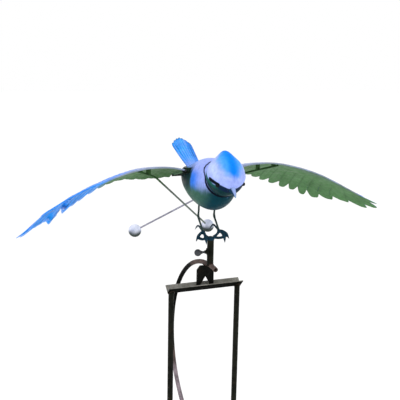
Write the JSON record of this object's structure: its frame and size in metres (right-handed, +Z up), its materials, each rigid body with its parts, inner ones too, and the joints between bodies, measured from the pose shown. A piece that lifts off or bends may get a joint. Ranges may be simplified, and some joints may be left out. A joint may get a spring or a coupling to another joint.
{
  "type": "garden rocking bird with flapping wings on a ground stake",
  "caption": "Blue metal bird on a rocking C-shaped pendulum tube over a forked ground stake, with counterbalanced flapping wings.",
  "frame": {"origin": "on the ground line, midway between the two legs and straight below the rocking edge", "axes": "+Z up, the bird faces -Y and its left wing is on +X, the crossbar runs along X"},
  "size_m": [0.796, 0.384, 1.2549],
  "materials": {
    "rusty_steel": "matte",
    "rusty_tube": "matte",
    "counterweight_iron": "matte",
    "knob_iron": "satin",
    "zinc_steel": "satin",
    "bracket_iron": "satin",
    "rod_wire": "satin",
    "ball_white": "gloss",
    "body_paint": "satin",
    "head_paint": "satin",
    "beak_paint": "satin",
    "eye_black": "gloss",
    "tail_paint": "satin",
    "wing_paint": "satin",
    "leg_paint": "satin"
  },
  "bodies": {
    "stand": {"crossbar_trough": "rusty_steel", "upper_upright_left": "rusty_steel", "lower_upright_left": "rusty_steel", "connector_pin_left": "zinc_steel", "upper_joint_screw_left": "zinc_steel", "lower_joint_screw_left": "zinc_steel", "ground_spike_left": "rusty_steel", "upper_upright_right": "rusty_steel", "lower_upright_right": "rusty_steel", "connector_pin_right": "zinc_steel", "upper_joint_screw_right": "zinc_steel", "lower_joint_screw_right": "zinc_steel", "ground_spike_right": "rusty_steel", "brace_rod": "rusty_steel", "step_bar": "rusty_steel"},
    "rocker": {"saddle_plate": "rusty_steel", "pendulum_tube": "rusty_tube", "post_sleeve": "rusty_steel", "clamp_boss": "rusty_steel", "counterweight": "counterweight_iron"},
    "clamp_knob": {"clamp_screw_shank": "zinc_steel", "clamp_ball_knob": "knob_iron"},
    "bird": {"swivel_spigot": "leg_paint", "leg_left": "leg_paint", "foot_left": "leg_paint", "leg_right": "leg_paint", "foot_right": "leg_paint", "body_shell_left": "body_paint", "head_shell_left": "head_paint", "eye_left": "eye_black", "body_shell_right": "body_paint", "head_shell_right": "head_paint", "eye_right": "eye_black", "beak_upper": "beak_paint", "beak_lower": "beak_paint", "tail_fan": "tail_paint", "hinge_bracket_left": "bracket_iron", "hinge_pin_left": "zinc_steel", "hinge_bracket_right": "bracket_iron", "hinge_pin_right": "zinc_steel"},
    "left_wing": {"wing_knuckle_left": "bracket_iron", "wing_sheet_left": "wing_paint", "balance_rod_left": "rod_wire", "balance_ball_left": "ball_white", "rod_tab_1_left": "bracket_iron", "rod_tab_2_left": "bracket_iron"},
    "right_wing": {"wing_knuckle_right": "bracket_iron", "wing_sheet_right": "wing_paint", "balance_rod_right": "rod_wire", "balance_ball_right": "ball_white", "rod_tab_1_right": "bracket_iron", "rod_tab_2_right": "bracket_iron"}
  },
  "joints": [
    {"name": "rock", "type": "hinge", "parent": "stand", "child": "rocker", "pos_m": [0, 0, 0.8205], "axis": [1, 0, 0], "range_deg": [-20, 20]},
    {"name": "bird_swivel", "type": "hinge", "parent": "rocker", "child": "bird", "pos_m": [0, -0.0243, 0.91], "axis": [0, 0, 1], "continuous": true},
    {"name": "clamp_turn", "type": "hinge", "parent": "rocker", "child": "clamp_knob", "pos_m": [-0.028, -0.0243, 0.907], "axis": [-1, 0, 0], "range_deg": [0, 360]},
    {"name": "left_wing_flap", "type": "hinge", "parent": "bird", "child": "left_wing", "pos_m": [0.053, 0.023, 1.0693], "axis": [0, -0.9703, 0.2419], "range_deg": [-12, 16]},
    {"name": "right_wing_flap", "type": "hinge", "parent": "bird", "child": "right_wing", "pos_m": [-0.053, 0.023, 1.0693], "axis": [0, 0.9703, -0.2419], "range_deg": [-12, 16]}
  ]
}
